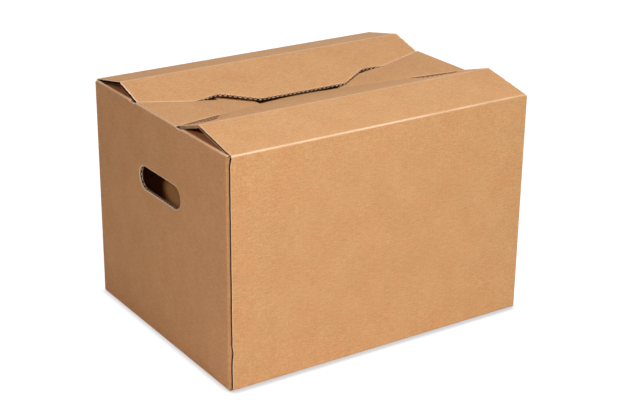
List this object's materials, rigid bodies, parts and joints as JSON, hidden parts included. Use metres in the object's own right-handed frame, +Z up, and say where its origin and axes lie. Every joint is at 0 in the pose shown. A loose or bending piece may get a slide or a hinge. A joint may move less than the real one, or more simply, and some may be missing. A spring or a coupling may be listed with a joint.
{
  "type": "archive box",
  "caption": "Corrugated cardboard archive box with interlocking fold-in top flaps, ridged long flaps, a hinged tabbed back flap, a glued corner lap and oval hand holes in the end walls.",
  "frame": {"origin": "centre of the bottom, on the surface the box stands on", "axes": "+X along the length towards the right end wall, -Y towards the front wall, +Z up"},
  "size_m": [0.42, 0.33, 0.3028],
  "materials": {
    "kraft_board": "matte unbleached kraft liner on corrugated board"
  },
  "bodies": {
    "box": {"box_body": "kraft_board"},
    "flap": {"back_flap": "kraft_board"}
  },
  "joints": [
    {"name": "back_flap_hinge", "type": "hinge", "parent": "box", "child": "flap", "pos_m": [0, 0.165, 0.288], "axis": [-1, 0, 0], "range_deg": [0, 250]}
  ]
}
